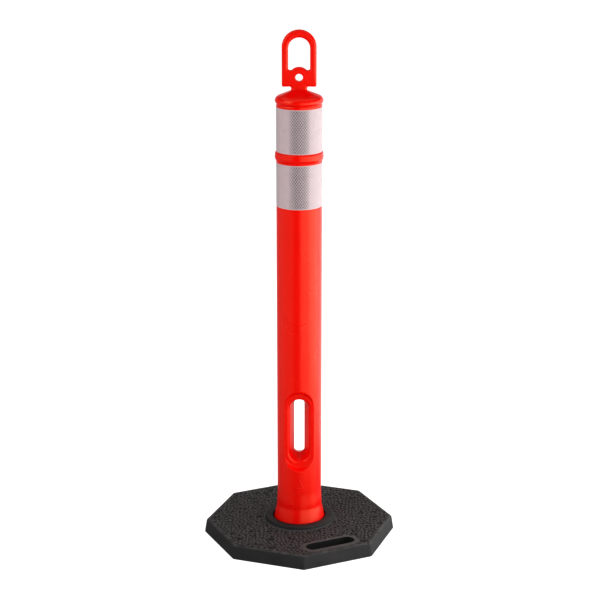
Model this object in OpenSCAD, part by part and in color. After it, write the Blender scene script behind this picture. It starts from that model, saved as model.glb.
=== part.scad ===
// Delineator post: a hollow moulded tube with a loop handle and a hand slot,
// two reflective bands, and an octagonal rubber base that drops over the top.
// Millimetres, +Z up, origin on the ground at the axis of the post, loop facing -Y.

/* [Tube] */
// Outside diameter of the tube
tube_d = 104; // [102:0.5:104]
// Height of the rim's widest point above the ground
rim_z = 1050.5; // [1048:0.5:1070]
// Thickness of the moulded wall
wall = 3; // [2:0.5:4]

/* [Cap and bead] */
// Diameter of the rounded rim under the cap
rim_d = 109.4; // [108:0.2:112]
// Height at which the shallow cone of the cap meets the neck
cap_top_z = 1072.6; // [1070:0.2:1075]
// Slope of the cap, as a rise per unit of radius
cap_slope = 0.4; // [0.35:0.01:0.45]
// Diameter of the bead between the bands
bead_d = 111; // [108:0.2:112]
// Height of the bead's widest point
bead_z = 922; // [920:0.5:924]

/* [Loop handle] */
// Overall height, from the ground to the top of the loop
total_h = 1209; // [1200:1:1220]
// Outside width of the loop
loop_w = 77.8; // [70:0.2:84]
// Thickness of the loop, front to back
loop_t = 16; // [12:1:20]
// Width of the window in the loop
window_w = 49.6; // [44:0.2:52]
// Height of the top of the window
window_top = 1191.3; // [1185:0.1:1193]
// Height of the bottom of the window, at its sides
window_bottom = 1117.9; // [1116:0.1:1120]
// Height of the loop's flat lower edge
plate_bottom = 1081.4; // [1080:0.1:1083]
// Diameter of the tie hole
hole_d = 17.5; // [12:0.5:20]
// Height of the centre of the tie hole
hole_z = 1101.7; // [1100:0.1:1103]
// Width of the neck between the loop and the cap
neck_w = 35.6; // [30:0.2:40]

/* [Hand slot in the tube] */
// Height of the middle of the slot
slot_z = 269.5; // [260:0.5:300]
// Width of the slot at its narrow middle
throat_w = 25; // [22:0.1:30]
// Height of the slot at its narrow middle
throat_h = 136; // [120:0.1:140]
// Width of the slot where it opens on the flat recess
mouth_w = 48; // [40:0.5:56]
// Distance of the flat recess from the post's axis
recess_y = 39; // [37:0.5:44]
// Height of the flat recess
recess_h = 185; // [178:0.5:190]
// Height of the recess's opening at the tube's surface
opening_h = 199; // [190:0.5:206]

/* [Foot] */
// Height of the crease where the foot starts to flare
flare_z = 72.5; // [65:0.5:80]
// Radius of the tube at that crease
flare_r = 53.3; // [53:0.1:54]
// Slope of the flare, as growth of radius per unit of drop
flare_slope = 0.216; // [0.15:0.002:0.25]
// Height at which the tube starts to widen towards the crease
widen_z = 115; // [100:1:125]
// Radius of the flange under the base
flange_r = 78; // [74:1:79]
// Thickness of that flange
flange_t = 5; // [4:0.5:6]

/* [Bands] */
// Height of one reflective band
band_h = 101.6; // [101.6, 102.6]
// Height of the lower edge of the upper band
upper_band_z = 934.4; // [934:0.1:936]
// Height of the lower edge of the lower band
lower_band_z = 807.5; // [780:0.5:808]
// Thickness of the sheeting
band_t = 0.4; // [0.3:0.1:0.5]
// Overlap of the sheeting's ends at the back
overlap_w = 12; // [8:1:15]

/* [Base] */
// Octagon's radius to its corners at the ground
base_r = 229.4; // [220:0.2:235]
// The same radius at the top of the rim
base_top_r = 223.9; // [215:0.2:230]
// Thickness of the base
base_h = 33.3; // [30:0.1:38]
// Rounding of the base's upper edge
base_edge = 5; // [2:0.5:7]
// How far the base is turned round the post
base_turn = 2.73; // [0:0.01:45]
// Outside diameter of the collar round the hole
collar_d = 164; // [158:1:170]
// Height of the top of the collar
collar_z = 42; // [38:0.5:46]
// Gap between the flared foot and the hole in the base
hole_gap = 2.7; // [1:0.1:4]
// Length of the hand slot in the base
grip_l = 132; // [120:1:136]
// Width of the hand slot in the base
grip_w = 42; // [36:1:44]
// Distance of the middle of that slot from the post's axis
grip_offset = 169.5; // [165:0.5:172]

/* [Hidden] */

tube_r = tube_d / 2;
rim_r = rim_d / 2;
loop_r = loop_w / 2;
neck_r = neck_w / 2;
flange_gap = 0.5;
recess_gap = 3;
eighth = 360 / 8;
fine = 96;
reach = 1;

// Points of an arc of an ellipse in the r-z plane, from angle a0 to a1
function arc(c, rx, rz, a0, a1, n) =
    [for (i = [0:n]) let (a = a0 + (a1 - a0) * i / n) [c.x + rx * cos(a), c.y + rz * sin(a)]];

// ---------------------------------------------------------------- outline of the post

rim_soft = 6.4;      // radius of the rim's upper rounding
rim_rise = 1.2;      // drop from the cap's edge to the top of that rounding
rim_in = 3.4;
rim_low = 7.4;
groove_r = tube_r - 0.9;
groove_z = rim_z - rim_low - 0.6;
groove_land = 0.3;   // the narrow ring under the groove is this much smaller than the tube
groove_step = 1.8;
cap_r = 46.5;
cap_edge_z = cap_top_z - cap_slope * (cap_r - neck_r);

// The shallow cone, the rounded rim and the small groove under it, from the top down
function cap_points() = concat(
    [[0, cap_top_z + cap_slope * neck_r], [cap_r, cap_edge_z]],
    arc([rim_r - rim_soft, rim_z], rim_soft, cap_edge_z - rim_z - rim_rise, 62, 0, 6),
    arc([rim_r - rim_in, rim_z], rim_in, rim_low, -12, -75, 4),
    [[groove_r, groove_z], [tube_r - groove_land, groove_z - groove_step]]);

// The bead: a square shoulder above, a full round below and a narrow ring under it
bead_r = bead_d / 2;
bead_top = bead_z + 10.5;
bead_bulge = bead_r - tube_r;
bead_half = 9.8;
bead_low = bead_z - bead_half;
bead_edge = 1.8;     // size of the shoulder's softened edge
bead_ring = 2.2;     // height of the narrow ring
ring_r = tube_r + 0.1;

function shoulder_points() = [
    [tube_r, bead_top], [bead_r - 1.4, bead_top - 0.3],
    [bead_r - 0.7, bead_top - bead_edge], [bead_r - 0.5, bead_z + 4.5]];

function bead_points() = concat(
    shoulder_points(),
    arc([bead_r - bead_bulge, bead_z], bead_bulge, bead_half, 20, -78, 7),
    [[ring_r, bead_low - 0.4], [ring_r, bead_low - bead_ring + 0.2], [tube_r, bead_low - bead_ring]]);

function flare_at(z) = flare_r + flare_slope * (flare_z - z);

function foot_points() = [
    [tube_r, widen_z], [flare_r, flare_z], [flare_at(flange_t), flange_t],
    [flange_r, flange_t], [flange_r, 0]];

// The hollow keeps one wall thickness inside that outline
module hollow() {
    rotate_extrude($fn = fine)
        polygon([
            [0, cap_top_z - wall], [neck_r, cap_top_z - wall], [cap_r - 1, cap_edge_z - wall],
            [rim_r - wall, rim_z], [tube_r - wall, groove_z - 2],
            [tube_r - wall, widen_z], [flare_r - wall, flare_z], [flare_at(0) - wall, 0],
            [flare_at(0) - wall, -reach], [0, -reach]]);
}

module outer_body() {
    rotate_extrude($fn = fine)
        polygon(concat(cap_points(), bead_points(), foot_points(), [[0, 0]]));
}

// ---------------------------------------------------------------- hand slot in the tube

beyond = tube_r + 4;
recess_w = 2 * sqrt(tube_r * tube_r - recess_y * recess_y);
recess_lean = (opening_h - recess_h) / 2 / (tube_r - recess_y);

// A round-ended hollow from depth y0 with end radius r0 to depth y1 with end radius r1,
// whose end centres are one straight length apart
module taper_slot(straight, r0, r1, y0, y1) {
    depth = y1 - y0;
    translate([0, y0, slot_z])
        rotate([-90, 0, 0]) {
            for (end = [-1, 1])
                translate([0, end * straight / 2, 0])
                    cylinder(h = depth, r1 = r0, r2 = r1, $fn = fine);
            rotate([90, 0, 0])
                linear_extrude(height = straight, center = true)
                    polygon([[-r0, 0], [r0, 0], [r1, depth], [-r1, depth]]);
        }
}

// The slot's hollow when grow is 0, or its outside when grow is the wall:
// a tunnel from the narrow middle to each mouth, and a flat recess round each mouth
module slot_hollow(grow) {
    recess_r = recess_w / 2 + grow;
    floor_y = recess_y - grow;
    for (side = [0, 1])
        rotate([0, 0, 180 * side]) {
            taper_slot(throat_h - throat_w, throat_w / 2 + grow, mouth_w / 2 + grow, 0, recess_y);
            taper_slot(recess_h - recess_w, recess_r, recess_r + recess_lean * (beyond - floor_y), floor_y, beyond);
        }
}

// ---------------------------------------------------------------- loop handle

// Flat outline with its lower corners rounded
module loop_outline() {
    corner = 3.5;
    fillet = 3.8;
    translate([0, total_h - loop_r])
        circle(r = loop_r, $fn = fine);
    translate([-loop_r, plate_bottom + corner])
        square([loop_w, total_h - loop_r - plate_bottom - corner]);
    translate([corner - loop_r, plate_bottom])
        square([loop_w - 2 * corner, 2 * corner]);
    for (s = [-1, 1])
        translate([s * (loop_r - corner), plate_bottom + corner])
            circle(r = corner, $fn = fine);
    translate([-neck_r, cap_top_z - wall])
        square([neck_w, plate_bottom - cap_top_z + wall + reach]);
    difference() {
        translate([-neck_r - fillet, plate_bottom - fillet])
            square([neck_w + 2 * fillet, fillet + reach]);
        for (s = [-1, 1])
            translate([s * (neck_r + fillet), plate_bottom - fillet])
                circle(r = fillet, $fn = fine);
    }
}

// Window with a round top, small corners and a round boss over the tie hole
module window_outline() {
    corner = 4;
    r = window_w / 2;
    boss_r = 23.4;
    difference() {
        union() {
            translate([0, window_top - r])
                circle(r = r, $fn = fine);
            translate([-r, window_bottom + corner])
                square([window_w, window_top - r - window_bottom - corner]);
            translate([corner - r, window_bottom])
                square([window_w - 2 * corner, 2 * corner]);
            for (s = [-1, 1])
                translate([s * (r - corner), window_bottom + corner])
                    circle(r = corner, $fn = fine);
        }
        translate([0, hole_z])
            circle(r = boss_r, $fn = fine);
    }
}

module loop_handle() {
    difference() {
        rotate([90, 0, 0])
            linear_extrude(height = loop_t, center = true)
                difference() {
                    loop_outline();
                    window_outline();
                }
        translate([0, 0, hole_z])
            rotate([90, 0, 0])
                cylinder(h = loop_t + 2 * reach, d = hole_d, center = true, $fn = fine);
    }
}

// ---------------------------------------------------------------- sub-parts

module post() {
    color("orangered")
        union() {
            difference() {
                outer_body();
                difference() {
                    hollow();
                    slot_hollow(wall);
                }
                slot_hollow(0);
            }
            loop_handle();
        }
}

// One wrap of sheeting, with its ends overlapping at the back
module band(low_z) {
    color("gainsboro")
        translate([0, 0, low_z])
            difference() {
                union() {
                    cylinder(h = band_h, r = tube_r + band_t, $fn = fine);
                    intersection() {
                        cylinder(h = band_h, r = tube_r + 2 * band_t, $fn = fine);
                        translate([-overlap_w / 2, 0, 0])
                            cube([overlap_w, tube_d, band_h]);
                    }
                }
                translate([0, 0, -reach])
                    cylinder(h = band_h + 2 * reach, r = tube_r, $fn = fine);
            }
}

module upper_band() {
    band(upper_band_z);
}

module lower_band() {
    band(lower_band_z);
}

// Outline of the grip slot, centred on its own middle
module grip_slot() {
    straight = grip_l - grip_w;
    depth = base_h + 2 * reach;
    for (s = [-1, 1])
        translate([s * straight / 2, 0, -reach])
            cylinder(h = depth, d = grip_w, $fn = fine);
    translate([-straight / 2, -grip_w / 2, -reach])
        cube([straight, grip_w, depth]);
}

// Octagon with sloping sides and a rounded upper edge
module slab() {
    edge_z = base_h - base_edge;
    edge_r = base_r - (base_r - base_top_r) * edge_z / base_h;
    rotate_extrude($fn = 8)
        polygon(concat(
            [[0, 0], [base_r, 0]],
            arc([edge_r - base_edge, edge_z], base_edge, base_edge, 0, 90, 5),
            [[0, base_h]]));
}

// Raised smooth collar with a rounded top edge
module collar() {
    edge = 3;
    r = collar_d / 2;
    rotate_extrude($fn = fine)
        polygon(concat(
            [[0, base_h - reach], [r, base_h - reach]],
            arc([r - edge, collar_z - edge], edge, edge, 0, 90, 5),
            [[0, collar_z]]));
}

module base() {
    hole_low = flare_at(-reach) + hole_gap;
    hole_high = flare_at(collar_z + reach) + hole_gap;
    color("dimgray")
        difference() {
            union() {
                rotate([0, 0, base_turn])
                    slab();
                collar();
            }
            translate([0, 0, -reach])
                cylinder(h = collar_z + 2 * reach, r1 = hole_low, r2 = hole_high, $fn = fine);
            translate([0, 0, -reach])
                cylinder(h = flange_t + flange_gap + reach, r = flange_r + recess_gap, $fn = fine);
            rotate([0, 0, base_turn + eighth / 2])
                translate([0, -grip_offset, 0])
                    grip_slot();
        }
}

post();
upper_band();
lower_band();
base();
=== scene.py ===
"""Looks of the delineator post: skins for its four nodes, their materials, the light and the camera.

Lengths of shapes are millimetres until MM turns them into metres. Angles round the post count from the
front (-Y) towards +X, and those of the base from +X towards +Y.
"""

import math

import bmesh
import bpy
import numpy as np
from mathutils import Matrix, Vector, geometry


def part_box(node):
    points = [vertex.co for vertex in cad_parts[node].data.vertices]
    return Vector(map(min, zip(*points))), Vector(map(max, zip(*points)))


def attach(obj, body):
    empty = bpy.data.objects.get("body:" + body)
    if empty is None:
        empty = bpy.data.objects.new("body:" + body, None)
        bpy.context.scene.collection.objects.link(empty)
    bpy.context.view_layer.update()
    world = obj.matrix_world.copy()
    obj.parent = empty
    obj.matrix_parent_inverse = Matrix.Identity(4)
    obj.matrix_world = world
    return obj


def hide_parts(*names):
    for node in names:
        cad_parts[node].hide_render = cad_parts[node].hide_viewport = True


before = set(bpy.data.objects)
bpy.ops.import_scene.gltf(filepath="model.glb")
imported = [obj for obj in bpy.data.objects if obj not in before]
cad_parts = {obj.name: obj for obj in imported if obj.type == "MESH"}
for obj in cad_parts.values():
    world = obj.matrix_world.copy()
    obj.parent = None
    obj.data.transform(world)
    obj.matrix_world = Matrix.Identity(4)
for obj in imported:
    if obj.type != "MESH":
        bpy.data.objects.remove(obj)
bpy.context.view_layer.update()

MM = 0.001


# ---------------- sizes

def box_mm(node):
    """A CAD node's lowest and highest corner, in millimetres."""
    low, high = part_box(node)
    return np.array(low) / MM, np.array(high) / MM


POST_HIGH = box_mm("post")[1]
UPPER_LOW, UPPER_HIGH = box_mm("upper_band")
LOWER_LOW, LOWER_HIGH = box_mm("lower_band")
BASE_HIGH = box_mm("base")[1]

SHEET_T = 0.4  # thickness of the reflective sheeting
TUBE_R = UPPER_HIGH[0] - SHEET_T  # outside radius of the tube
SHEET_GAP = 0.02  # clearance between the sheeting and the tube
WALL = 3.0  # thickness of the tube
SEAM_H = 0.22  # height of the mould's parting line
TOTAL_H = POST_HIGH[2] - SEAM_H  # top of the loop, under its parting line
COLLAR_TOP = BASE_HIGH[2]

# Cap: a shallow cone from the neck to the rounded rim
CAP_TOP = 1072.6  # height of the cone at the neck
CAP_SLOPE = 0.4  # fall of the cone for each mm outwards
CAP_R = 45.5  # radius where the cone meets the rounded rim

# Loop handle
LOOP_R = 38.9  # half width of the loop, and radius of its arch
LOOP_HALF_T = 8.0  # half of its thickness, front to back
PLATE_BOTTOM = 1081.4  # underside of the plate that holds the tie hole
PLATE_CORNER = 3.5
NECK_HALF = 17.8  # half width of the neck under the plate
NOTCH_FILLET = 3.8  # rounding between the neck and the plate
WINDOW_HALF = 24.8
WINDOW_TOP = 1191.3
WINDOW_BOTTOM = 1117.9
WINDOW_CORNER = 4.0
BOSS_R = 23.4  # round boss over the tie hole
BOSS_FILLET = 3.0  # rounding between the boss and the window's foot
HOLE_R = 8.75  # radius of the tie hole
HOLE_Z = 1101.7
EDGE_R = 5.5  # rounding of the loop's edges
LOW_EDGE_R = 3.3  # the same at the plate's lower corners
HOLE_EDGE_R = 1.8  # the same at the tie hole
NECK_FILLET = 3.0  # rounding between the neck and the cone

# Hand slot in the tube
SLOT_Z = 269.5
THROAT = np.array([12.5, 68.0])  # half width and half height of its narrow middle
MOUTH = np.array([24.0, 78.5])  # the same where the tunnel would meet the flat recess
MOUTH_FILLET = 5.0  # reach of the mouth's rounding over the recess
MOUTH_START = 0.86  # share of the tunnel before that rounding
RECESS_Y = 39.0  # distance of the flat recess from the axis
RECESS_HALF = 92.5  # half height of the recess
STEP_FOOT = 2.6  # rounding between the recess and the step round it
STEP_TOP = 3.6  # rounding between the step and the tube
STEP_LEAN = 0.46  # lean of the step's wall
SIDE_CREASE = 0.08  # what is left of the step where the recess meets the tube
SLOT_SEAM = (SEAM_H, 0.16, 0.0)  # the parting line's rise in the slot's throat

# Foot
WIDEN_Z = 115.0  # the tube widens from here down to the crease
CREASE_Z = 72.5  # crease where the flare starts
CREASE_R = 53.3
FLARE_SLOPE = 0.216  # growth of the flare's radius for each mm down
FLANGE_R = POST_HIGH[0]
FLANGE_T = 5.0

# Base
SIDES = 8
SIDE_TURN = 360 / SIDES  # degrees from one corner to the next
BASE_TURN = 2.73  # degrees that the base is turned round the post
BASE_R = 229.4  # reach of the sharp corners at the ground
BASE_TOP_R = 223.9  # the same at the top
BASE_H = 33.3
BASE_CORNER = 9.0  # rounding of the octagon's corners
BASE_EDGE = 5.0  # rounding of its top edge
COLLAR_R = 82.0
COLLAR_GROOVE = 2.2  # width of the groove round the collar
HOLE_GAP = 2.7  # gap between the hole and the flared foot
GRIP_L = 132.0  # hand slot: its length, width and distance from the axis
GRIP_W = 42.0
GRIP_OFFSET = 169.5
GRIP_EDGE = 4.5  # rounding of the hand slot's top edge
GRIP_TURN = BASE_TURN + SIDE_TURN / 2  # direction of the side that it lies along
GRIP_CENTRE = GRIP_OFFSET * np.array([math.sin(math.radians(GRIP_TURN)), -math.cos(math.radians(GRIP_TURN))])

# The base's flat top: the way out, square to each side, in radians, and how far out the top reaches there
SIDE_ANGLES = [math.radians(GRIP_TURN + SIDE_TURN * k) for k in range(SIDES)]
TOP_REACH = BASE_TOP_R * math.cos(math.pi / SIDES) - BASE_EDGE


def cone_z(r):
    """Height of the cap's cone at radius r."""
    return CAP_TOP + CAP_SLOPE * (NECK_HALF - r)


def flare_r(z):
    """Outside radius of the flared foot at height z."""
    return CREASE_R + FLARE_SLOPE * (CREASE_Z - z)


# ---------------- mesh tools

class Skin:
    """Points and faces of one mesh, in millimetres, until they become an object."""

    def __init__(self):
        self.points = []
        self.faces = []
        self.flat = []
        self.count = 0

    def add(self, points):
        """Adds points and returns their numbers, in the same rows."""
        points = np.asarray(points, float)
        start = self.count
        self.points.append(points.reshape(-1, 3))
        self.count += len(self.points[-1])
        return np.arange(start, self.count).reshape(points.shape[:-1])

    def all_points(self):
        """Every point so far, one to a row."""
        return np.concatenate(self.points)

    def grid(self, rows, ring=False, flat=0):
        """Quads between neighbouring rows of point numbers; ring joins the last column to the first."""
        rows = np.asarray(rows)
        if ring:
            rows = np.concatenate([rows, rows[:, :1]], axis=1)
        quads = np.stack([rows[:-1, :-1], rows[1:, :-1], rows[1:, 1:], rows[:-1, 1:]], axis=-1)
        self.faces += quads.reshape(-1, 4).tolist()
        self.flat += [flat] * (quads.size // 4)

    def fan(self, ring, point):
        """Triangles from one more point to a closed ring."""
        centre = int(self.add([point])[0])
        for a, b in zip(ring, np.roll(ring, -1)):
            self.faces.append([int(a), int(b), centre])
            self.flat.append(0)

    def fill(self, loops, flatten, lift=None, inner=None, flat=1):
        """Triangles over a region: loops are rings of point numbers, flatten gives a point's two
        coordinates, and inner are more points of those coordinates, which lift puts in space."""
        points = self.all_points()
        outline = [flatten(points[loop]) for loop in loops]
        numbers = np.concatenate(loops)
        places = np.concatenate(outline)
        edges = []
        start = 0
        for loop in loops:
            n = len(loop)
            edges += [(start + i, start + (i + 1) % n) for i in range(n)]
            start += n
        if inner is not None:
            numbers = np.concatenate([numbers, self.add(lift(inner))])
            places = np.concatenate([places, inner])
        result = geometry.delaunay_2d_cdt([Vector(p) for p in places], edges, [], 0, 1e-6)
        source = np.array([o[0] for o in result[3]])
        triangles = source[np.array(result[2])]
        middles = places[triangles].mean(axis=1)
        kept = triangles[inside(middles, outline)]
        self.faces += numbers[kept].tolist()
        self.flat += [flat] * len(kept)

    def to_object(self, name):
        """One smooth closed mesh, whose flat faces keep flat normals."""
        mesh = bpy.data.meshes.new(name)
        mesh.from_pydata((self.all_points() * MM).tolist(), [], self.faces)
        flat = mesh.attributes.new("flat_face", "INT", "FACE")
        flat.data.foreach_set("value", self.flat)
        bm = bmesh.new()
        bm.from_mesh(mesh)
        bmesh.ops.remove_doubles(bm, verts=bm.verts, dist=1e-6)
        bmesh.ops.dissolve_degenerate(bm, dist=1e-7, edges=bm.edges)
        bmesh.ops.recalc_face_normals(bm, faces=bm.faces)
        bm.to_mesh(mesh)
        bm.free()
        smooth_normals(mesh)
        obj = bpy.data.objects.new(name, mesh)
        bpy.context.scene.collection.objects.link(obj)
        return obj


def inside(places, outline):
    """Whether each place is inside an odd number of the closed lines."""
    result = np.zeros(len(places), bool)
    for line in outline:
        for (ax, ay), (bx, by) in zip(line, np.roll(line, -1, axis=0)):
            if ay == by:
                continue
            between = (places[:, 1] > min(ay, by)) & (places[:, 1] <= max(ay, by))
            left = places[:, 0] < ax + (places[:, 1] - ay) * (bx - ax) / (by - ay)
            result ^= between & left
    return result


def smooth_normals(mesh):
    """Normals weighted by area, with those of flat faces kept exactly."""
    count = len(mesh.vertices)
    total = np.zeros((count, 3))
    exact = np.zeros((count, 3))
    flat = mesh.attributes["flat_face"].data
    for face in mesh.polygons:
        corners = list(face.vertices)
        total[corners] += np.array(face.normal) * face.area
        if flat[face.index].value:
            exact[corners] += np.array(face.normal)
    chosen = np.where(np.abs(exact).sum(axis=1, keepdims=True) > 0, exact, total)
    chosen /= np.maximum(np.linalg.norm(chosen, axis=1, keepdims=True), 1e-12)
    mesh.attributes.remove(mesh.attributes["flat_face"])
    mesh.shade_smooth()
    mesh.normals_split_custom_set_from_vertices(chosen.tolist())


def arc(centre, radius, start, end, steps, hollow=False):
    """Places and outward normals along an arc, in degrees; a hollow arc's normals point to its centre."""
    angles = np.radians(np.linspace(start, end, steps + 1))
    normals = np.stack([np.cos(angles), np.sin(angles)], axis=1)
    return np.asarray(centre) + radius * normals, -normals if hollow else normals


def line(start, end, steps, normal):
    """Places and normals along a straight line."""
    t = np.linspace(0, 1, steps + 1)[:, None]
    places = (1 - t) * np.asarray(start, float) + t * np.asarray(end, float)
    return places, np.tile(np.asarray(normal, float), (steps + 1, 1))


def chain(*pieces):
    """Joins pieces of outline end to end, without repeated places."""
    places, normals = pieces[0]
    for more, turned in pieces[1:]:
        skip = 1 if np.allclose(places[-1], more[0], atol=1e-3) else 0
        places = np.concatenate([places, more[skip:]])
        normals = np.concatenate([normals, turned[skip:]])
    return places, normals


def closed(outline):
    """The same outline without its last place when that repeats the first."""
    places, normals = outline
    if np.allclose(places[0], places[-1], atol=1e-3):
        return places[:-1], normals[:-1]
    return outline


def mirrored(outline):
    """The outline in the mirror x = 0, run the other way."""
    places, normals = outline
    flip = np.array([-1.0, 1.0])
    return places[::-1] * flip, normals[::-1] * flip


def curve_through(points, steps):
    """A smooth line through points, with that many steps between two of them."""
    p = np.asarray(points, float)
    p = np.concatenate([[2 * p[0] - p[1]], p, [2 * p[-1] - p[-2]]])
    result = []
    for a, b, c, d in zip(p, p[1:], p[2:], p[3:]):
        for t in np.arange(steps) / steps:
            result.append(0.5 * (2 * b + (c - a) * t + (2 * a - 5 * b + 4 * c - d) * t ** 2
                                 + (3 * b - a - 3 * c + d) * t ** 3))
    result.append(p[-2])
    return [tuple(x) for x in result]


def smoothstep(low, high, x):
    """A smooth rise from 0 at low to 1 at high."""
    t = np.clip((np.asarray(x, float) - low) / (high - low), 0, 1)
    return t * t * (3 - 2 * t)


# ---------------- columns round the post

ARC_STEPS = 7  # steps round each rounded edge of the loop
FRONT_STEPS = 36  # columns over the front 120 degrees, and over the back
SEAM = np.array([1.6, 0.8, 0.35])  # places beside the mould's parting line
SEAM_RISE = np.array([0.0, 0.04, 0.17, SEAM_H, 0.17, 0.04, 0.0])
SEAM_Y = np.concatenate([-SEAM, [0.0], SEAM[::-1]])


def side_columns():
    """Angles of the columns at the post's right side, close together at the parting line."""
    seam = np.degrees(SEAM / TUBE_R)
    near = np.concatenate([np.linspace(60, 86.5, ARC_STEPS + 1), 90 - seam])
    return np.concatenate([near, [90.0], 180 - near[::-1]])


def post_columns():
    """Angle and parting-line rise of every column, from -60 degrees round to -60 again."""
    front = np.linspace(-60, 60, FRONT_STEPS + 1)
    side = side_columns()[1:-1]
    rise = np.zeros(len(side))
    rise[ARC_STEPS:ARC_STEPS + len(SEAM_RISE)] = SEAM_RISE
    none = np.zeros(len(front))
    angles = np.concatenate([front, side, front + 180, side + 180])
    return np.radians(angles), np.concatenate([none, rise, none, rise])


COLUMNS, RISE = post_columns()
FRONT = np.arange(FRONT_STEPS + 1)  # numbers of the front columns
BACK = FRONT + FRONT_STEPS + 1 + len(side_columns()) - 2


def ring_points(r, z, rise=1.0):
    """One row of points round the post."""
    radius = r + rise * RISE
    return np.stack([radius * np.sin(COLUMNS), -radius * np.cos(COLUMNS), np.full(len(COLUMNS), z)], axis=1)


# ---------------- tube, bead, rim and foot

PATCH_LOW = 150.0  # the slot's patch of the tube, from here
PATCH_HIGH = 390.0
PATCH_ROWS = 72


def rim_profile():
    """Radius and height from the cone's edge, over the rounded rim and groove, down to the upper band."""
    rim = curve_through([
        (CAP_R, cone_z(CAP_R)), (48.5, 1060.2), (51.2, 1058.2), (53.0, 1056.0), (54.2, 1053.2),
        (54.65, 1050.5), (54.5, 1048.2), (53.7, 1046.2), (52.4, 1044.6), (51.3, 1043.4)], 3)
    return rim + [(51.0, 1042.8), (51.0, 1042.2), (51.4, 1041.5), (51.65, 1040.8), (51.7, 1039.8),
                  (51.75, 1037.0), (TUBE_R, UPPER_HIGH[2])]


def bead_profile():
    """The bead between the bands: a square shoulder above, round below, and a narrow ring."""
    round_part = curve_through([
        (54.85, 930.2), (54.85, 927.5), (55.1, 925.0), (55.45, 923.0), (55.4, 920.7), (55.0, 918.4),
        (54.1, 916.1), (53.1, 914.0), (52.2, 912.4)], 3)
    shoulder = [(TUBE_R, UPPER_LOW[2]), (TUBE_R, 933.2), (52.2, 932.7), (52.6, 932.5), (53.6, 932.4),
                (54.3, 932.1), (54.7, 931.3)]
    ring = [(52.15, 911.9), (52.3, 911.6), (52.3, 910.4), (TUBE_R, 910.1)]
    return shoulder + round_part + ring


def foot_profile():
    """From under the slot down the flared foot to the flange's rim."""
    widening = [(TUBE_R + (CREASE_R - TUBE_R) * smoothstep(0, 1, t), WIDEN_Z + (CREASE_Z + 1.0 - WIDEN_Z) * t)
                for t in np.linspace(0, 1, 9)]
    flare = [(float(flare_r(z)), z) for z in (71.0, 69.0, 60.0, 45.0, 30.0, 18.0)]
    toe = curve_through([(flare_r(11.0), 11.0), (flare_r(7.6), 7.6), (69.6, 5.5), (72.0, FLANGE_T)], 3)
    edge = [(FLANGE_R - 1.2, FLANGE_T), (FLANGE_R - 0.3, FLANGE_T - 0.4), (FLANGE_R, FLANGE_T - 1.2),
            (FLANGE_R, 1.0), (FLANGE_R - 0.4, 0.3), (FLANGE_R - 1.2, 0.0)]
    return [(float(r), float(z)) for r, z in widening] + flare + toe + edge


def inner_profile():
    """The hollow's radius and height, from the foot's mouth up to just under the slot's patch."""
    return [(flare_r(0) - WALL, 0.0), (flare_r(0) - WALL - 0.2, 1.0), (CREASE_R - WALL, CREASE_Z),
            (TUBE_R - WALL, WIDEN_Z)]


def slot_outline(half):
    """The round-ended outline of the slot with that half width and half height, from its lower right
    round to its lower left."""
    width, height = half
    straight = height - width
    low, high = (0, SLOT_Z - straight), (0, SLOT_Z + straight)
    corner = PATCH_ROWS // 7
    right = chain(
        arc(low, width, -45, 0, corner),
        line((width, low[1]), (width, high[1]), PATCH_ROWS - 2 * corner, (1, 0)),
        arc(high, width, 0, 45, corner))
    return closed(chain(right, arc(high, width, 45, 135, FRONT_STEPS), mirrored(right),
                        arc(low, width, 225, 315, FRONT_STEPS)))


def bend(start, corner, end, steps):
    """Places along a smooth bend from start to end that leaves and arrives in line with the corner."""
    start, corner, end = (np.asarray(p, float) for p in (start, corner, end))
    return [(1 - t) ** 2 * start + 2 * t * (1 - t) * corner + t ** 2 * end
            for t in np.linspace(0, 1, steps + 1)]



def tunnel_rings(skin, side, extra):
    """Rows of points from the slot's throat out to its mouth, rounded onto the flat recess."""
    throat = np.append(THROAT + extra, 0)
    mouth = np.append(MOUTH + extra, RECESS_Y - extra)
    start = throat + (mouth - throat) * MOUTH_START
    path = [throat + (start - throat) * t for t in (0.0, 0.014, 0.035, 0.2, 0.4, 0.6, 0.8)]
    path += bend(start, mouth, mouth + [MOUTH_FILLET, MOUTH_FILLET, 0], 10)
    if extra == 0:
        for place, rise in zip(path, SLOT_SEAM):
            place[:2] -= rise
    rings = []
    for *half, depth in path:
        x, z = slot_outline(half)[0].T
        rings.append(skin.add(np.column_stack([x, np.full(len(x), side * depth), z])))
    return rings


def step_rings(skin, side, radius, extra):
    """Rows of points from the flat recess up the step round it to the tube, at that radius."""
    floor = RECESS_Y - extra
    drop = TUBE_R - RECESS_Y
    places, normals = slot_outline((math.sqrt(radius ** 2 - floor ** 2), RECESS_HALF + extra))
    share = (np.sqrt(radius ** 2 - places[:, 0] ** 2) - floor) / drop
    share = np.maximum(share, SIDE_CREASE)[:, None]
    path = bend((-STEP_FOOT, 0), (0, 0), (STEP_LEAN * STEP_FOOT, STEP_FOOT), 6)
    path += bend((STEP_LEAN * (drop - STEP_TOP), drop - STEP_TOP), (STEP_LEAN * drop, drop),
                 (STEP_LEAN * drop + STEP_TOP, drop), 8)
    rings = []
    for out, rise in path:
        x, z = (places + normals * share * out).T
        depth = floor + (np.sqrt(radius ** 2 - x ** 2) - floor) * rise / drop
        rings.append(skin.add(np.column_stack([x, side * depth, z])))
    return rings


def patch_border(rows, columns):
    """Point numbers round the patch's edge, in the order of slot_outline."""
    right = rows[:, columns[-1]]
    top = rows[-1, columns[::-1]]
    left = rows[::-1, columns[0]]
    bottom = rows[0, columns]
    return np.concatenate([right, top[1:-1], left, bottom[1:-1]])


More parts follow.
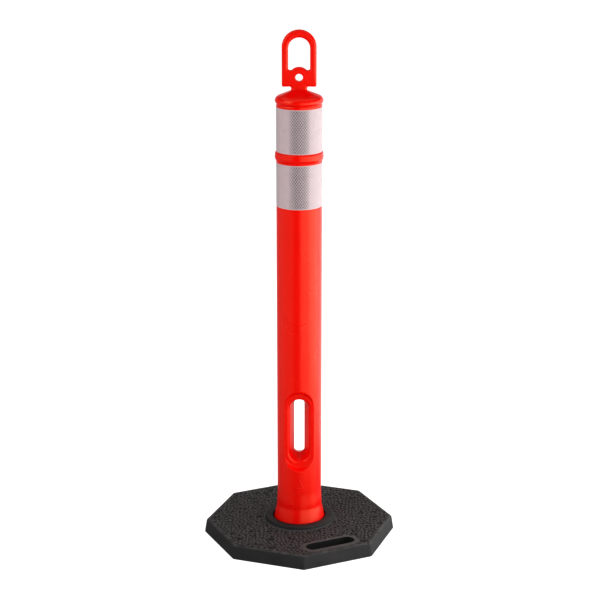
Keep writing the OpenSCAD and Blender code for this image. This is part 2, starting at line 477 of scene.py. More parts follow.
def slot_skin(skin, rows, radius, extra):
    """Closes the front and back patches of the tube round the slot, its recess and its tunnel."""
    points = skin.all_points()
    for side, columns in ((-1, FRONT), (1, BACK[::-1])):
        tunnel = tunnel_rings(skin, side, extra)
        rings = step_rings(skin, side, radius, extra)
        skin.grid(tunnel, ring=True)
        skin.grid([tunnel[-1], rings[0]], ring=True, flat=1)
        border = patch_border(rows, columns)
        lip = skin.all_points()[rings[-1]]
        edge = points[border]
        steps = []
        for t in (0.06, 0.14, 0.24, 0.36, 0.50, 0.66, 0.83):
            angle = ((1 - t) * np.arcsin(lip[:, 0] / radius)
                     + t * np.arcsin(np.clip(edge[:, 0] / radius, -1, 1)))
            z = (1 - t) * lip[:, 2] + t * edge[:, 2]
            place = np.stack([radius * np.sin(angle), side * radius * np.cos(angle), z], axis=1)
            steps.append(skin.add(place))
        skin.grid(rings + steps + [border], ring=True)


def tube_wall(skin, rows_above, rows_below, radius, extra, rise):
    """Joins the rows above and below the slot's patch, and the patch itself, to one wall."""
    heights = np.linspace(PATCH_LOW, PATCH_HIGH, PATCH_ROWS + 1)
    patch = np.array([skin.add(ring_points(radius, z, rise)) for z in heights])
    skin.grid(list(rows_above) + [patch[-1]], ring=True)
    skin.grid([patch[0]] + list(rows_below), ring=True)
    right = np.arange(FRONT[-1], BACK[0] + 1)
    left = np.concatenate([np.arange(BACK[-1], len(COLUMNS)), [0]])
    skin.grid(patch[:, right])
    skin.grid(patch[:, left])
    slot_skin(skin, patch, radius, extra)


# ---------------- loop handle

def loop_outline():
    """Right half of the loop from the notch's fillet up to the top, then the left half."""
    arch_z = TOTAL_H - LOOP_R
    corner = PLATE_BOTTOM + PLATE_CORNER
    right = chain(
        arc((NECK_HALF + NOTCH_FILLET, PLATE_BOTTOM - NOTCH_FILLET), NOTCH_FILLET, 180, 90, 8, hollow=True),
        line((NECK_HALF + NOTCH_FILLET, PLATE_BOTTOM), (LOOP_R - PLATE_CORNER, PLATE_BOTTOM), 6, (0, -1)),
        arc((LOOP_R - PLATE_CORNER, corner), PLATE_CORNER, -90, 0, 8),
        line((LOOP_R, corner), (LOOP_R, arch_z), 24, (1, 0)),
        arc((0, arch_z), LOOP_R, 0, 90, 24))
    return chain(right, mirrored(right))


def window_outline():
    """The window: straight sides, a round top, small corners and the boss over the tie hole."""
    arch_z = WINDOW_TOP - WINDOW_HALF
    corner_x = WINDOW_HALF - WINDOW_CORNER
    reach = BOSS_R + BOSS_FILLET
    fillet_z = WINDOW_BOTTOM + BOSS_FILLET
    fillet_x = math.sqrt(reach ** 2 - (fillet_z - HOLE_Z) ** 2)
    lean = math.degrees(math.atan2(fillet_z - HOLE_Z, fillet_x))
    right = chain(
        arc((0, HOLE_Z), BOSS_R, 90, lean, 10),
        arc((fillet_x, fillet_z), BOSS_FILLET, 180 + lean, 270, 5, hollow=True),
        line((fillet_x, WINDOW_BOTTOM), (corner_x, WINDOW_BOTTOM), 2, (0, 1)),
        arc((corner_x, WINDOW_BOTTOM + WINDOW_CORNER), WINDOW_CORNER, 270, 360, 6, hollow=True),
        line((WINDOW_HALF, WINDOW_BOTTOM + WINDOW_CORNER), (WINDOW_HALF, arch_z), 12, (-1, 0)),
        arc((0, arch_z), WINDOW_HALF, 0, 90, 20, hollow=True))
    return closed(chain(right, mirrored(right)))


def edge_section(edge_r):
    """Inset, depth and outward lean over one edge of the loop, from its front face to its back face."""
    turn = np.radians(np.linspace(0, 90, ARC_STEPS + 1))
    inset = edge_r * (1 - np.sin(turn))
    depth = -LOOP_HALF_T + edge_r * (1 - np.cos(turn))
    inset = np.concatenate([inset, -SEAM_RISE, inset[::-1]])
    depth = np.concatenate([depth, SEAM_Y, -depth[::-1]])
    lean = np.concatenate([np.sin(turn), np.ones(len(SEAM_Y)), np.sin(turn[::-1])])
    return inset, depth, lean


def edge_rows(skin, outline, edge_r):
    """Rows of points over a rounded edge along an outline; edge_r is one radius for each place."""
    rows = []
    for place, normal, radius in zip(*outline, edge_r):
        inset, depth, _ = edge_section(radius)
        flat = place - inset[:, None] * normal
        rows.append(skin.add(np.stack([flat[:, 0], depth, flat[:, 1]], axis=1)))
    return np.array(rows)


def loop_edge_r(places):
    """Edge radius along the loop: smaller at the plate's lower corners than elsewhere."""
    up = smoothstep(PLATE_BOTTOM + 6, PLATE_BOTTOM + 26, places[:, 1])
    inward = smoothstep(LOOP_R - 6, NECK_HALF + 2, np.abs(places[:, 0]))
    near = np.where(places[:, 1] < PLATE_BOTTOM + 5, inward, 0)
    return LOW_EDGE_R + (EDGE_R - LOW_EDGE_R) * np.maximum(up, near)


def neck_ring():
    """Places and normals round the neck's section, one for each column of the post."""
    inset, depth, lean = edge_section(EDGE_R)
    width = NECK_HALF - EDGE_R
    across = np.linspace(-width, width, FRONT_STEPS + 1)
    front = np.stack([across, np.full(len(across), -LOOP_HALF_T)], axis=1)
    right = np.stack([NECK_HALF - inset, depth], axis=1)[1:-1]
    out = np.sign(depth) * np.sqrt(np.maximum(0, 1 - lean ** 2))
    right_normal = np.stack([lean, out], axis=1)[1:-1]
    front_normal = np.tile([0.0, -1.0], (len(across), 1))
    places = np.concatenate([front, right, -front, -right])
    return places, np.concatenate([front_normal, right_normal, -front_normal, -right_normal])


def cap_rows(skin):
    """Rows from the foot of the neck, over its fillet and down the cone, to the rim."""
    places, normals = neck_ring()
    ridge = RISE > 0
    rows = []
    for turn in np.radians(np.linspace(0, 90, 7)):
        xy = places + normals * NECK_FILLET * (1 - math.cos(turn))
        z = cone_z(np.hypot(*xy.T)) + NECK_FILLET * (1 - math.sin(turn)) + ridge * RISE * math.sin(turn)
        rows.append(skin.add(np.column_stack([xy, z])))
    rim = ring_points(CAP_R, 0)[:, :2]
    for t in np.linspace(0, 1, 10)[1:-1]:
        mixed = (1 - t) * xy + t * rim
        rows.append(skin.add(np.column_stack([mixed, cone_z(np.hypot(*mixed.T)) + RISE])))
    return rows


def loop_skin(skin, neck):
    """The loop handle on the neck, whose first row of points is given."""
    outline = loop_outline()
    outer = edge_rows(skin, outline, loop_edge_r(outline[0]))
    right = neck[FRONT[-1]:BACK[0] + 1]
    left = np.concatenate([neck[BACK[-1]:], neck[:1]])[::-1]
    skin.grid(np.concatenate([[right], outer, [left]]))
    window = window_outline()
    window_rows = edge_rows(skin, window, np.full(len(window[0]), EDGE_R))
    skin.grid(np.concatenate([window_rows, window_rows[:1]]))
    hole = closed(arc((0, HOLE_Z), HOLE_R, 0, 360, 40, hollow=True))
    hole_rows = edge_rows(skin, hole, np.full(len(hole[0]), HOLE_EDGE_R))
    skin.grid(np.concatenate([hole_rows, hole_rows[:1]]))
    for end, foot in ((0, neck[FRONT]), (-1, neck[BACK][::-1])):
        border = np.concatenate([outer[:, end], foot])
        skin.fill([border, window_rows[:, end], hole_rows[:, end]], lambda p: p[:, [0, 2]])


# ---------------- embossed mark on the foot

MARK_RISE = 1.3  # height of its lines over the tube
MARK_HALF = 1.1  # half of their width


def rounded_polygon(corners, radius, steps=5):
    """A closed outline round convex corners that run anticlockwise."""
    corners = [np.array(c, float) for c in corners]
    pieces = []
    for before, here, after in zip(corners[-1:] + corners[:-1], corners, corners[1:] + corners[:1]):
        a = (here - before) / np.linalg.norm(here - before)
        b = (after - here) / np.linalg.norm(after - here)
        start = math.degrees(math.atan2(-a[0], a[1]))
        turn = math.degrees(math.acos(np.clip(a @ b, -1, 1)))
        inward = (b - a) / np.linalg.norm(b - a)
        centre = here + inward * radius / math.cos(math.radians(turn / 2))
        pieces.append(arc(centre, radius, start, start + turn, steps))
    return closed(chain(*pieces, (pieces[0][0][:1], pieces[0][1][:1])))


def mark_skin(skin):
    """A plain triangle and a plain bar, raised on the front of the foot."""
    triangle = rounded_polygon([(-8.5, 128.0), (10.5, 128.0), (1.0, 148.5)], 1.6)
    bar = rounded_polygon([(-9.0, 114.5), (11.0, 114.5), (11.0, 120.5), (-9.0, 120.5)], 2.4)
    turn = np.radians(np.linspace(0, 180, 7))
    across = np.concatenate([-MARK_HALF * np.cos(turn), [0.0]])
    height = np.concatenate([MARK_RISE * np.sin(turn) - 0.05, [-0.5]])
    for places, normals in (triangle, bar):
        rows = []
        for place, normal in zip(places, normals):
            s, z = (place + across[:, None] * normal).T
            r = TUBE_R + height
            rows.append(skin.add(np.stack([r * np.sin(s / TUBE_R), -r * np.cos(s / TUBE_R), z], axis=1)))
        rows = np.array(rows)
        skin.grid(np.concatenate([rows, rows[:1]]), ring=True)


# ---------------- the four pieces

def build_post():
    """The orange moulding: loop, cap, rim, bead, tube with its slot, foot, and the hollow inside."""
    skin = Skin()
    cap = cap_rows(skin)
    loop_skin(skin, cap[0])
    above = cap + [skin.add(ring_points(r, z)) for r, z in rim_profile()]
    above += [skin.add(ring_points(r, z)) for r, z in bead_profile()]
    above += [skin.add(ring_points(TUBE_R, z)) for z in np.linspace(880, 400, 13)]
    hollow = [skin.add(ring_points(r, z, 0)) for r, z in inner_profile()]
    below = [skin.add(ring_points(r, z, smoothstep(CREASE_Z - 20, CREASE_Z, z)))
             for r, z in foot_profile()]
    tube_wall(skin, above, below + hollow[:1], TUBE_R, 0.0, 1.0)
    peak = cone_z(NECK_HALF) - WALL
    ceiling = [(TUBE_R - WALL, 400.0), (TUBE_R - WALL, 1036.0), (51.7, 1050.5),
               (CAP_R - 1, cone_z(CAP_R) - WALL), (NECK_HALF, peak), (1.0, peak)]
    roof = [skin.add(ring_points(r, z, 0)) for r, z in ceiling[::-1]]
    skin.fan(roof[0], (0, 0, peak))
    tube_wall(skin, roof, hollow[::-1], TUBE_R - WALL, WALL, 0.0)
    mark_skin(skin)
    return skin.to_object("post_moulding")


LAP = 12.0  # overlap of a band's two ends
SHEET_EDGE = 0.12  # bevel of the sheeting's edges


def build_band(name, low, high):
    """One strip of sheeting round the tube, its end lapped over its start at the back."""
    skin = Skin()
    overlap = LAP / TUBE_R
    start = math.pi - overlap / 2
    angles = np.linspace(start, start + 2 * math.pi + overlap, 241)
    section = np.array([
        (SHEET_GAP, low), (SHEET_T - SHEET_EDGE, low), (SHEET_T, low + SHEET_EDGE),
        (SHEET_T, high - SHEET_EDGE), (SHEET_T - SHEET_EDGE, high), (SHEET_GAP, high)])
    rows = []
    for angle in angles:
        step = (SHEET_T + SHEET_GAP) * smoothstep(-0.25, 0.0, angle - start - 2 * math.pi)
        r = TUBE_R + section[:, 0] + step * 0.95
        rows.append(skin.add(np.stack([r * np.sin(angle), -r * np.cos(angle), section[:, 1]], axis=1)))
    skin.grid(rows, ring=True)
    for row in (rows[0], rows[-1]):
        skin.faces.append(row.tolist())
        skin.flat.append(1)
    return skin.to_object(name)


CORNER_STEPS = 8  # steps round each corner of the base
SIDE_STEPS = 24  # steps along each side


def octagon(z):
    """The base's outline at height z on its leaning sides, with rounded corners."""
    half = SIDE_TURN / 2
    reach = BASE_R - (BASE_R - BASE_TOP_R) * z / BASE_H - BASE_CORNER / math.cos(math.radians(half))
    pieces = []
    for k in range(SIDES + 1):
        middle = BASE_TURN + SIDE_TURN * k
        centre = reach * np.array([math.cos(math.radians(middle)), math.sin(math.radians(middle))])
        corner = arc(centre, BASE_CORNER, middle - half, middle + half, CORNER_STEPS)
        if pieces:
            pieces.append(line(pieces[-1][0][-1], corner[0][0], SIDE_STEPS, corner[1][0]))
        pieces.append(corner)
    places, normals = chain(*pieces)
    repeated = CORNER_STEPS + 1
    return places[:-repeated], normals[:-repeated]


def stadium(length, width, centre, direction):
    """A round-ended outline round a place, along a direction in degrees, normals inward."""
    half = (length - width) / 2
    right = chain(arc((half, 0), width / 2, -90, 90, 20, hollow=True),
                  line((half, width / 2), (-half, width / 2), 16, (0, -1)))
    places, normals = closed(chain(right, (-right[0], -right[1])))
    c, s = math.cos(math.radians(direction)), math.sin(math.radians(direction))
    spin = np.array([[c, s], [-s, c]])
    return places @ spin + np.asarray(centre), normals @ spin


def wall_rows(skin, outline, profile):
    """Rows of points for a wall along a closed outline; profile is a list of inset and height."""
    places, normals = outline
    return [skin.add(np.column_stack([places - normals * inset, np.full(len(places), z)]))
            for inset, z in profile]


def quarter(inset, z, radius, start, end, steps=6):
    """Inset and height round a quarter of an edge, about a centre."""
    turn = np.radians(np.linspace(start, end, steps + 1))
    return [(inset + radius * math.cos(a), z + radius * math.sin(a)) for a in turn]


GRAIN_STEP = 1.7  # distance between the points of the grained top
GRAIN_CELL = 8.5  # size of a pebble
GRAIN_RISE = 1.3  # scale of the grain's height
GRAIN_EDGE = 3.5  # width of the smooth border of the grained top
GRAIN_TABLE = 160  # cells along each side of a table of random points
PEBBLE_SEED = 11
FINE_SEED = 23
GRID_SEED = 5
CIRCLE_STEPS = 160  # steps round the collar


def edge_distance(places):
    """Distance of each place on the base's top to the nearest edge, collar or grip."""
    to_side = np.min([TOP_REACH - places @ [math.cos(a), math.sin(a)] for a in SIDE_ANGLES], axis=0)
    to_collar = np.hypot(*places.T) - COLLAR_R - COLLAR_GROOVE
    c, s = math.cos(math.radians(GRIP_TURN)), math.sin(math.radians(GRIP_TURN))
    local = (places - GRIP_CENTRE) @ np.array([[c, -s], [s, c]])
    straight = (GRIP_L - GRIP_W) / 2
    along = np.maximum(np.abs(local[:, 0]) - straight, 0)
    to_grip = np.hypot(along, local[:, 1]) - GRIP_W / 2 - GRIP_EDGE
    return np.minimum(np.minimum(to_side, to_collar), to_grip)


def cell_noise(places, cell, seed):
    """Distances to the nearest and the next scattered point, as shares of a cell."""
    spread = np.random.default_rng(seed).random((GRAIN_TABLE, GRAIN_TABLE, 2))
    scaled = places / cell + GRAIN_TABLE // 2
    home = np.floor(scaled).astype(int)
    distances = []
    for dx in (-1, 0, 1):
        for dy in (-1, 0, 1):
            at = home + [dx, dy]
            point = at + spread[at[:, 0] % GRAIN_TABLE, at[:, 1] % GRAIN_TABLE]
            distances.append(np.hypot(*(scaled - point).T))
    distances = np.sort(distances, axis=0)
    return distances[0], distances[1]


def grain(places):
    """Height of the pebbled grain on the base's top."""
    first, second = cell_noise(places, GRAIN_CELL, PEBBLE_SEED)
    fine = cell_noise(places, GRAIN_CELL * 0.55, FINE_SEED)[0]
    pebble = smoothstep(0.0, 0.55, second - first) - 0.35 * first
    height = GRAIN_RISE * (pebble - 0.25 * fine - 0.6)
    return height * smoothstep(0.0, GRAIN_EDGE, edge_distance(places))


def grained_top(places):
    """The same places as points on the grained top."""
    return np.column_stack([places, BASE_H + grain(places)])


def top_places():
    """Places all over the base's top, in a slightly uneven triangular grid."""
    reach = int(BASE_R / GRAIN_STEP) + 2
    i, j = np.meshgrid(np.arange(-reach, reach + 1), np.arange(-reach * 6 // 5, reach * 6 // 5 + 1))
    x = (i + 0.5 * (j % 2)) * GRAIN_STEP
    y = j * GRAIN_STEP * math.sqrt(0.75)
    places = np.column_stack([x.ravel(), y.ravel()])
    places += np.random.default_rng(GRID_SEED).uniform(-0.12, 0.12, places.shape) * GRAIN_STEP
    return places[edge_distance(places) > 0.6 * GRAIN_STEP]


def collar_profile():
    """Radius and height from the groove round the collar, over its top and down the hole to the ground."""
    hole_top = flare_r(COLLAR_TOP) + HOLE_GAP
    ledge = FLANGE_T + 0.5
    hole_low = flare_r(ledge + 1.0) + HOLE_GAP
    recess = FLANGE_R + 3
    return ([(COLLAR_R + COLLAR_GROOVE, BASE_H), (COLLAR_R + 1.5, BASE_H - 0.25),
             (COLLAR_R + 0.9, BASE_H - 0.7), (COLLAR_R + 0.3, BASE_H - 0.6), (COLLAR_R, BASE_H + 0.2),
             (COLLAR_R - 0.3, COLLAR_TOP - 3.2)]
            + quarter(COLLAR_R - 3.4, COLLAR_TOP - 3, 3, 0, 90)
            + quarter(hole_top + 2.4, COLLAR_TOP - 2.4, 2.4, 90, 180)
            + [(hole_low, ledge + 1.0), (hole_low + 0.8, ledge), (recess - 0.6, ledge),
               (recess, FLANGE_T), (recess, 1.0), (recess + 1.0, 0.0)])


def build_base():
    """The rubber octagon: its sides, collar, hole and hand slot, its grained top and flat underside."""
    skin = Skin()
    outer = ([(1.3, 0.0), (0.5, 0.2), (0.15, 0.7), (0.0, 3.0), (0.0, 12.0), (0.0, 20.0)]
             + [(BASE_EDGE * (1 - math.cos(a)), BASE_H - BASE_EDGE * (1 - math.sin(a)))
                for a in np.radians(np.linspace(0, 90, 8))])
    outer_rows = [wall_rows(skin, octagon(z), [(inset, z)])[0] for inset, z in outer]
    skin.grid(outer_rows, ring=True)

    circle = closed(arc((0, 0), 1.0, 0, 360, CIRCLE_STEPS))[0]
    collar_rows = [skin.add(np.column_stack([circle * r, np.full(CIRCLE_STEPS, z)]))
                   for r, z in collar_profile()]
    skin.grid(collar_rows, ring=True)

    rounding = [(-GRIP_EDGE * (1 - math.sin(a)), BASE_H - GRIP_EDGE * (1 - math.cos(a)))
                for a in np.radians(np.linspace(0, 90, 8))]
    grip = rounding + [(0.3, 14.0), (0.3, 2.0), (-0.2, 0.6), (-1.2, 0.0)]
    outline = stadium(GRIP_L, GRIP_W, GRIP_CENTRE, GRIP_TURN)
    grip_rows = wall_rows(skin, outline, grip)
    skin.grid(grip_rows, ring=True)

    skin.fill([outer_rows[-1], collar_rows[0], grip_rows[0]], lambda p: p[:, :2],
              lift=grained_top, inner=top_places(), flat=0)
    skin.fill([outer_rows[0], collar_rows[-1], grip_rows[-1]], lambda p: p[:, :2])
    return skin.to_object("base_rubber")


# ---------------- materials

class Paint:
    """A short way to write a Principled material's nodes."""

    def __init__(self, name, **values):
        self.material = bpy.data.materials.new(name)
        self.material.use_nodes = True
        self.tree = self.material.node_tree
        self.shader = self.tree.nodes["Principled BSDF"]
        for key, value in values.items():
            self.shader.inputs[key.replace("_", " ")].default_value = value

    def node(self, kind, **settings):
        """A new node of that kind, with its settings."""
        made = self.tree.nodes.new(kind)
        for key, value in settings.items():
            setattr(made, key, value)
        return made

    def link(self, output, target):
        """Joins a node's output to another's input."""
        self.tree.links.new(output, target)

    def place(self, scale=(1, 1, 1)):
        """Object coordinates in metres, stretched by scale."""
        coordinates = self.node("ShaderNodeTexCoord")
        mapping = self.node("ShaderNodeMapping")
        mapping.inputs["Scale"].default_value = scale
        self.link(coordinates.outputs["Object"], mapping.inputs["Vector"])
        return mapping.outputs["Vector"]

    def noise(self, scale, detail, roughness, stretch=(1, 1, 1)):
        """Cloudy noise on the object's coordinates."""
        made = self.node("ShaderNodeTexNoise")
        made.inputs["Scale"].default_value = scale
        made.inputs["Detail"].default_value = detail
        made.inputs["Roughness"].default_value = roughness
        self.link(self.place(stretch), made.inputs["Vector"])
        return made.outputs["Fac"]

    def math(self, operation, a, b=None, c=None):
        """One sum, on numbers or on other nodes' outputs."""
        made = self.node("ShaderNodeMath", operation=operation)
        for socket, value in zip(made.inputs, (a, b, c)):
            if value is None:
                continue
            if isinstance(value, (int, float)):
                socket.default_value = value
            else:
                self.link(value, socket)
        return made.outputs[0]

    def remap(self, value, low, high, to_low, to_high, smooth=False):
        """The value moved from the range low to high to another range, and held within it."""
        made = self.node("ShaderNodeMapRange")
        if smooth:
            made.interpolation_type = "SMOOTHSTEP"
        for key, number in zip(("From Min", "From Max", "To Min", "To Max"), (low, high, to_low, to_high)):
            made.inputs[key].default_value = number
        self.link(value, made.inputs["Value"])
        return made.outputs[0]

    def mix(self, factor, a, b):
        """Colour a where the factor is 0 and colour b where it is 1."""
        made = self.node("ShaderNodeMix", data_type="RGBA")
        self.link(factor, made.inputs["Factor"])
        for socket, value in ((made.inputs[6], a), (made.inputs[7], b)):
            if isinstance(value, tuple):
                socket.default_value = value
            else:
                self.link(value, socket)
        return made.outputs[2]

    def bump(self, height, distance):
        """Small unevenness of the surface, that many metres high."""
        made = self.node("ShaderNodeBump")
        made.inputs["Strength"].default_value = 1.0
        made.inputs["Distance"].default_value = distance
        self.link(height, made.inputs["Height"])
        self.link(made.outputs["Normal"], self.shader.inputs["Normal"])

    def to(self, value, name):
        """Joins an output to one of the material's own inputs."""
        self.link(value, self.shader.inputs[name])


ORANGE_DARK = (0.91, 0.0015, 0.0003, 1)
ORANGE_LIGHT = (0.95, 0.0025, 0.0005, 1)
ORANGE_GLANCE = (1.0, 0.97, 0.62, 1)  # tint of its reflections


def orange_plastic():
    """Satin orange polyethylene, with fine upright lines and a faint orange peel."""
    paint = Paint("orange_polyethylene", IOR=1.5, Specular_IOR_Level=0.62, Specular_Tint=ORANGE_GLANCE)
    paint.to(paint.mix(paint.noise(9.0, 3.0, 0.55), ORANGE_DARK, ORANGE_LIGHT), "Base Color")
    lines = paint.noise(900.0, 2.0, 0.5, (1, 1, 0.02))
    peel = paint.noise(420.0, 2.0, 0.5)
    paint.to(paint.remap(paint.noise(16.0, 1.0, 0.5), 0.3, 0.7, 0.27, 0.32), "Roughness")
    height = paint.math("ADD", paint.math("MULTIPLY", lines, 0.5), peel)
    paint.bump(height, 0.00005)
    return paint.material


def octagon_reach(paint, x, y):
    """How far out a place is, measured square to the base's nearest side."""
    reach = None
    for angle in SIDE_ANGLES[:SIDES // 2]:
        part = paint.math("MULTIPLY", y, math.sin(angle))
        part = paint.math("ABSOLUTE", paint.math("MULTIPLY_ADD", x, math.cos(angle), part))
        reach = part if reach is None else paint.math("MAXIMUM", reach, part)
    return reach


VALLEY_PAINTED_SHADE = (0.012, 0.012, 0.012, 1)  # painted shade on the rubber in the valleys between the pebbles
PEBBLE_PAINTED_HIGHLIGHT = (0.116, 0.113, 0.112, 1)  # painted highlight on their tops
SMOOTH_DARK = (0.036, 0.0355, 0.036, 1)  # rubber on the sides and the collar
SMOOTH_LIGHT = (0.054, 0.052, 0.052, 1)
PALE_EDGE = (0.125, 0.122, 0.118, 1)  # rubber paler in patches along the top edge


def rubber_edge(paint, height, beyond):
    """How pale a place is: patchily along the rounded top edge, and nowhere else."""
    top = BASE_H * MM
    near_top = paint.remap(height, top - 0.0040, top - 0.0015, 0.0, 1.0)
    patchy = paint.remap(paint.noise(55.0, 5.0, 0.7), 0.4, 0.65, 0.1, 0.9)
    return paint.math("MULTIPLY", paint.math("MULTIPLY", beyond, near_top), patchy)


def rubber_colour(paint):
    """Colour by place, in metres: pebbled on the grained top, with painted shade in its valleys and a painted
    highlight on the pebbles' tops, smooth below, above and beyond it.
    """
    split = paint.node("ShaderNodeSeparateXYZ")
    paint.link(paint.place(), split.inputs[0])
    x, y, height = split.outputs
    top = BASE_H * MM
    rim = TOP_REACH * MM
    below = paint.remap(height, top - 0.0026, top - 0.0019, 1.0, 0.0)
    above = paint.remap(height, top + 0.0010, top + 0.0016, 0.0, 1.0)
    beyond = paint.remap(octagon_reach(paint, x, y), rim - 0.0030, rim - 0.0010, 0.0, 1.0)
    off_grain = paint.math("MAXIMUM", below, paint.math("MAXIMUM", above, beyond))
    # painted light by height: painted shade in the grain's valleys, painted highlight on the pebbles' tops
    pebble_highlight_share = paint.remap(height, top - 0.0011, top - 0.0001, 0.0, 1.0)
    grained = paint.mix(pebble_highlight_share, VALLEY_PAINTED_SHADE, PEBBLE_PAINTED_HIGHLIGHT)
    patches = paint.remap(paint.noise(14.0, 4.0, 0.6), 0.3, 0.7, 0.0, 1.0)
    smooth = paint.mix(patches, SMOOTH_DARK, SMOOTH_LIGHT)
    colour = paint.mix(off_grain, grained, smooth)
    return paint.mix(rubber_edge(paint, height, beyond), colour, PALE_EDGE)


def black_rubber():
    """Moulded rubber: painted shade in the valleys between the pebbles, a painted highlight on their tops,
    and paler patches along the top edge.
    """
    paint = Paint("black_rubber", IOR=1.5, Specular_IOR_Level=0.35)
    paint.to(rubber_colour(paint), "Base Color")
    crumbs = paint.noise(700.0, 2.0, 0.6)
    paint.to(paint.remap(crumbs, 0.3, 0.7, 0.55, 0.72), "Roughness")
    paint.bump(crumbs, 0.00025)
    return paint.material


CELL_WIDE = 5.75  # the sheeting's diamond cells, round the post
CELL_HIGH = 7.9  # and up it
SEAL_HALF = 0.085  # half width of a seal line, as a share of the lattice's pitch
STRIP_SOLID = 0.0012  # sealed strip along a band's edges, in metres: solid to here
STRIP_END = 0.0022  # and gone from here
CELL_FACING_PAINTED_DARK = (0.27, 0.235, 0.24, 1)  # painted dark reflection of a cell that faces the viewer
CELL_ASIDE_PAINTED_PALE = (0.61, 0.495, 0.51, 1)  # painted pale reflection of one that is turned away
SEAL_COLOUR = (0.65, 0.535, 0.55, 1)


def lattice_seals(paint, x, y, z):
    """1 on the seal lines of the diamond lattice and 0 in its cells."""
    angle = paint.math("ARCTAN2", x, paint.math("MULTIPLY", y, -1.0))
    across = paint.math("MULTIPLY", angle, round(2 * math.pi * TUBE_R / CELL_WIDE) / (2 * math.pi))
    up = paint.math("MULTIPLY", z, 1 / (CELL_HIGH * MM))
    lines = []
    for sign in (1.0, -1.0):
        wave = paint.math("PINGPONG", paint.math("MULTIPLY_ADD", up, sign, across), 0.5)
        lines.append(paint.remap(wave, SEAL_HALF * 0.5, SEAL_HALF * 1.6, 1.0, 0.0, smooth=True))
    return paint.math("MAXIMUM", *lines)


def reflective_sheeting(low, high):
    """Silver sheeting: pale seal lines round cells whose colour holds a painted reflection: dark where they
    face the viewer, pale where they turn away.
    """
    paint = Paint("silver_sheeting", IOR=1.5)
    split = paint.node("ShaderNodeSeparateXYZ")
    paint.link(paint.place(), split.inputs[0])
    x, y, z = split.outputs
    edge_low = paint.remap(z, low * MM + STRIP_SOLID, low * MM + STRIP_END, 1.0, 0.0, smooth=True)
    edge_high = paint.remap(z, high * MM - STRIP_END, high * MM - STRIP_SOLID, 0.0, 1.0, smooth=True)
    strips = paint.math("MAXIMUM", edge_low, edge_high)
    seal = paint.math("MAXIMUM", lattice_seals(paint, x, y, z), strips)
    # painted reflection: the cells' colour darkens where they face the viewer and pales where they turn away
    facing = paint.node("ShaderNodeLayerWeight")
    facing.inputs["Blend"].default_value = 0.5
    painted_reflection_share = paint.remap(facing.outputs["Facing"], 0.045, 0.145, 0.0, 1.0)
    cells = paint.mix(painted_reflection_share, CELL_FACING_PAINTED_DARK, CELL_ASIDE_PAINTED_PALE)
    paint.to(paint.mix(seal, cells, SEAL_COLOUR), "Base Color")
    dust = paint.math("MULTIPLY", paint.noise(24.0, 1.0, 0.5), 0.08)
    paint.to(paint.math("ADD", paint.remap(seal, 0.0, 1.0, 0.24, 0.42), dust), "Roughness")
    paint.bump(seal, 0.00008)
    return paint.material


# ---------------- putting the pieces in the frame

def dress(piece, material, node, body):
    """Gives a piece its material, hangs it on its body's empty, and hides the CAD node that it replaces."""
    piece.data.materials.append(material)
    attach(piece, body)
    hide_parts(node)


BANDS = {"upper_band": (UPPER_LOW[2], UPPER_HIGH[2]), "lower_band": (LOWER_LOW[2], LOWER_HIGH[2])}

dress(build_post(), orange_plastic(), "post", "post")
for band, ends in BANDS.items():
    strip = build_band(band + "_sheeting", *ends)
    dress(strip, reflective_sheeting(*ends), band, "post")
dress(build_base(), black_rubber(), "base", "base")


# ---------------- floor, light and camera

FLOOR_HALF = 60.0  # half width of the floor, in metres
FLOOR_GLOW = 0.72  # the floor's own brightness, on top of the light that falls on it
WORLD_GLOW = 0.05  # brightness of the surroundings to all but the camera
PANEL_DISTANCE = 2.2  # from the post's axis to the middle of a panel, in metres

# Panels round the object: first and last angle, lower and upper edge in metres, and radiance
PANELS = {
    "back_left_panel": (-165, -112, -0.9, 1.9, 0.25),
    "left_panel": (-112, -28, -0.9, 1.9, 0.45),
    "front_right_panel": (6, 50, -0.65, 1.6, 1.3),
    "right_panel": (50, 110, -0.65, 1.6, 2.2),
    "back_right_panel": (110, 150, -0.65, 1.6, 1.1),
    "back_panel": (150, 195, -0.9, 1.9, 0.6),
}

# Camera, in millimetres, metres and degrees; its shift is a share of the sensor
LENS = 103.27
LENS_SHIFT = -0.0034
CAMERA_PLACE = (0.0065, -3.848, 1.7178)
CAMERA_TILT = 16.468  # down from level


def build_plane(name, z, camera, glossy, diffuse, **values):
    """A very large plane, seen only by the kinds of ray that are named."""
    mesh = bpy.data.meshes.new(name)
    corners = [(x * FLOOR_HALF, y * FLOOR_HALF, z) for x, y in ((-1, -1), (1, -1), (1, 1), (-1, 1))]
    mesh.from_pydata(corners, [], [(0, 1, 2, 3)])
    plane = bpy.data.objects.new(name, mesh)
    bpy.context.scene.collection.objects.link(plane)
    mesh.materials.append(Paint(name, **values).material)
    plane.visible_camera = camera
    plane.visible_glossy = glossy
    plane.visible_diffuse = diffuse
    plane.visible_shadow = False


def build_floor():
    """A white floor for the camera, and a pale matt one that throws light back at the object."""
    build_plane("floor", 0.0, camera=True, glossy=False, diffuse=False,
                Base_Color=(0.2, 0.2, 0.2, 1), Roughness=1.0,
                Emission_Color=(1, 1, 1, 1), Emission_Strength=FLOOR_GLOW)
    build_plane("floor_bounce", -0.0001, camera=False, glossy=False, diffuse=True,
                Base_Color=(0.7, 0.7, 0.7, 1), Roughness=1.0)


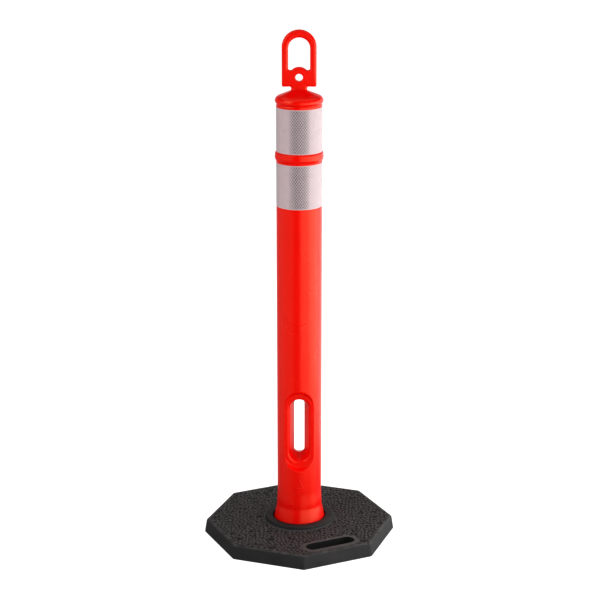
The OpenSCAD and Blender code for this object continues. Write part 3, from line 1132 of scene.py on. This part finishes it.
def build_light(name, place, target, size, radiance):
    """A soft rectangular light at a place, turned to a target, with that radiance all over."""
    light = bpy.data.lights.new(name, "AREA")
    light.shape = "RECTANGLE"
    light.size, light.size_y = size
    light.energy = radiance * math.pi * size[0] * size[1]
    lamp = bpy.data.objects.new(name, light)
    lamp.location = place
    direction = Vector(target) - Vector(place)
    lamp.rotation_euler = direction.to_track_quat("-Z", "Y").to_euler()
    lamp.visible_camera = False
    bpy.context.scene.collection.objects.link(lamp)


def build_panel(name, start, end, low, high, radiance):
    """A tall soft panel that stands round the object between two angles."""
    middle = math.radians((start + end) / 2)
    width = 2 * PANEL_DISTANCE * math.tan(math.radians((end - start) / 2))
    height = (low + high) / 2
    place = (PANEL_DISTANCE * math.sin(middle), -PANEL_DISTANCE * math.cos(middle), height)
    build_light(name, place, (0, 0, height), (width, high - low), radiance)


def build_lights():
    """The panels round the object, a key light from the left and a soft ceiling."""
    for name, panel in PANELS.items():
        build_panel(name, *panel)
    build_light("left_key", (-2.1, -1.35, 2.2), (0, 0, 0.6), (2.0, 2.0), 1.55)
    build_light("ceiling", (0, 0, 3.2), (0, 0, 0), (4.4, 4.4), 0.5)


def build_camera():
    """The camera in front of the post, above its top and looking down."""
    camera = bpy.data.cameras.new("camera")
    camera.lens = LENS
    camera.sensor_width = 36.0
    camera.shift_x = LENS_SHIFT
    camera.clip_end = 200.0
    holder = bpy.data.objects.new("camera", camera)
    holder.location = CAMERA_PLACE
    holder.rotation_euler = (math.radians(90 - CAMERA_TILT), 0, 0)
    bpy.context.scene.collection.objects.link(holder)
    bpy.context.scene.camera = holder


def build_world():
    """Surroundings that are white to the camera and dim to the object, and the view's look."""
    world = bpy.data.worlds.new("studio")
    world.use_nodes = True
    background = world.node_tree.nodes["Background"]
    background.inputs["Color"].default_value = (1, 1, 1, 1)
    paths = world.node_tree.nodes.new("ShaderNodeLightPath")
    strength = world.node_tree.nodes.new("ShaderNodeMapRange")
    strength.inputs["To Min"].default_value = WORLD_GLOW
    world.node_tree.links.new(paths.outputs["Is Camera Ray"], strength.inputs["Value"])
    world.node_tree.links.new(strength.outputs[0], background.inputs["Strength"])
    bpy.context.scene.world = world
    bpy.context.scene.view_settings.view_transform = "Standard"
    bpy.context.scene.view_settings.look = "High Contrast"


build_floor()
build_lights()
build_camera()
build_world()
